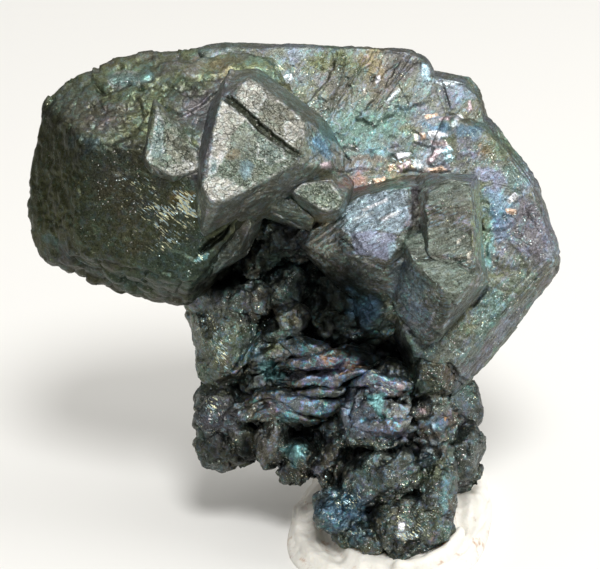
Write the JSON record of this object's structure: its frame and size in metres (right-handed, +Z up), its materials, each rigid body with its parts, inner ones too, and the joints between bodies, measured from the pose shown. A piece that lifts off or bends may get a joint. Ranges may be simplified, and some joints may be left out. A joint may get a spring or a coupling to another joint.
{
  "type": "mineral specimen",
  "caption": "Dark metallic mineral specimen: thick tabular twinned crystals on a knobbly foot, held upright in a pad of white putty.",
  "frame": {"origin": "on the putty's flat underside, below the foot of the specimen", "axes": "+Z up, -Y towards the viewer who faces the broad crystal faces, +X to that viewer's right"},
  "size_m": [0.043, 0.0253, 0.0386],
  "materials": {
    "sulfide": "dark metallic sulfide with an iridescent tarnish",
    "putty": "matt white display putty"
  },
  "bodies": {
    "root": {"chalcocite_specimen": "sulfide", "putty_pad": "putty"}
  },
  "joints": []
}
